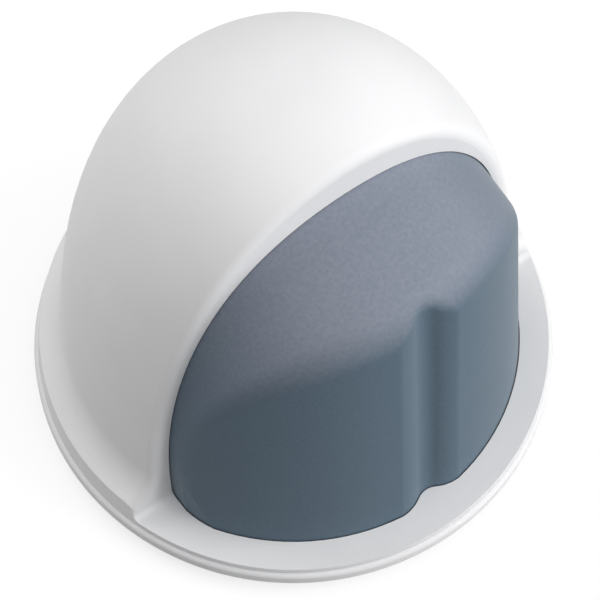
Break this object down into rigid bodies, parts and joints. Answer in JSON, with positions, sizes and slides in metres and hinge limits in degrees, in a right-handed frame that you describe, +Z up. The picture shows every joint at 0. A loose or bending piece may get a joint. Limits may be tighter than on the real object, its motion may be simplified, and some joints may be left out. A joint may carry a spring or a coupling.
{
  "type": "adhesive door stop",
  "caption": "Floor door stop with a white domed hood on a flared round base, a grooved grey rubber buffer set in its flat mouth, and a self-adhesive foam underside.",
  "frame": {"origin": "centre of the flat adhesive underside", "axes": "+Z up from the floor, -Y the way the rubber buffer faces, X across, with the plane X = 0 the mirror plane"},
  "size_m": [0.04, 0.04, 0.0359],
  "materials": {
    "white_plastic": "white satin moulding with a very fine spark texture",
    "grey_rubber": "blue-grey matte rubber with a fine grain",
    "foam_tape": "off-white closed-cell foam tape, matte"
  },
  "bodies": {
    "root": {"hood": "white_plastic", "base_plate": "white_plastic", "buffer": "grey_rubber", "adhesive_pad": "foam_tape"}
  },
  "joints": []
}
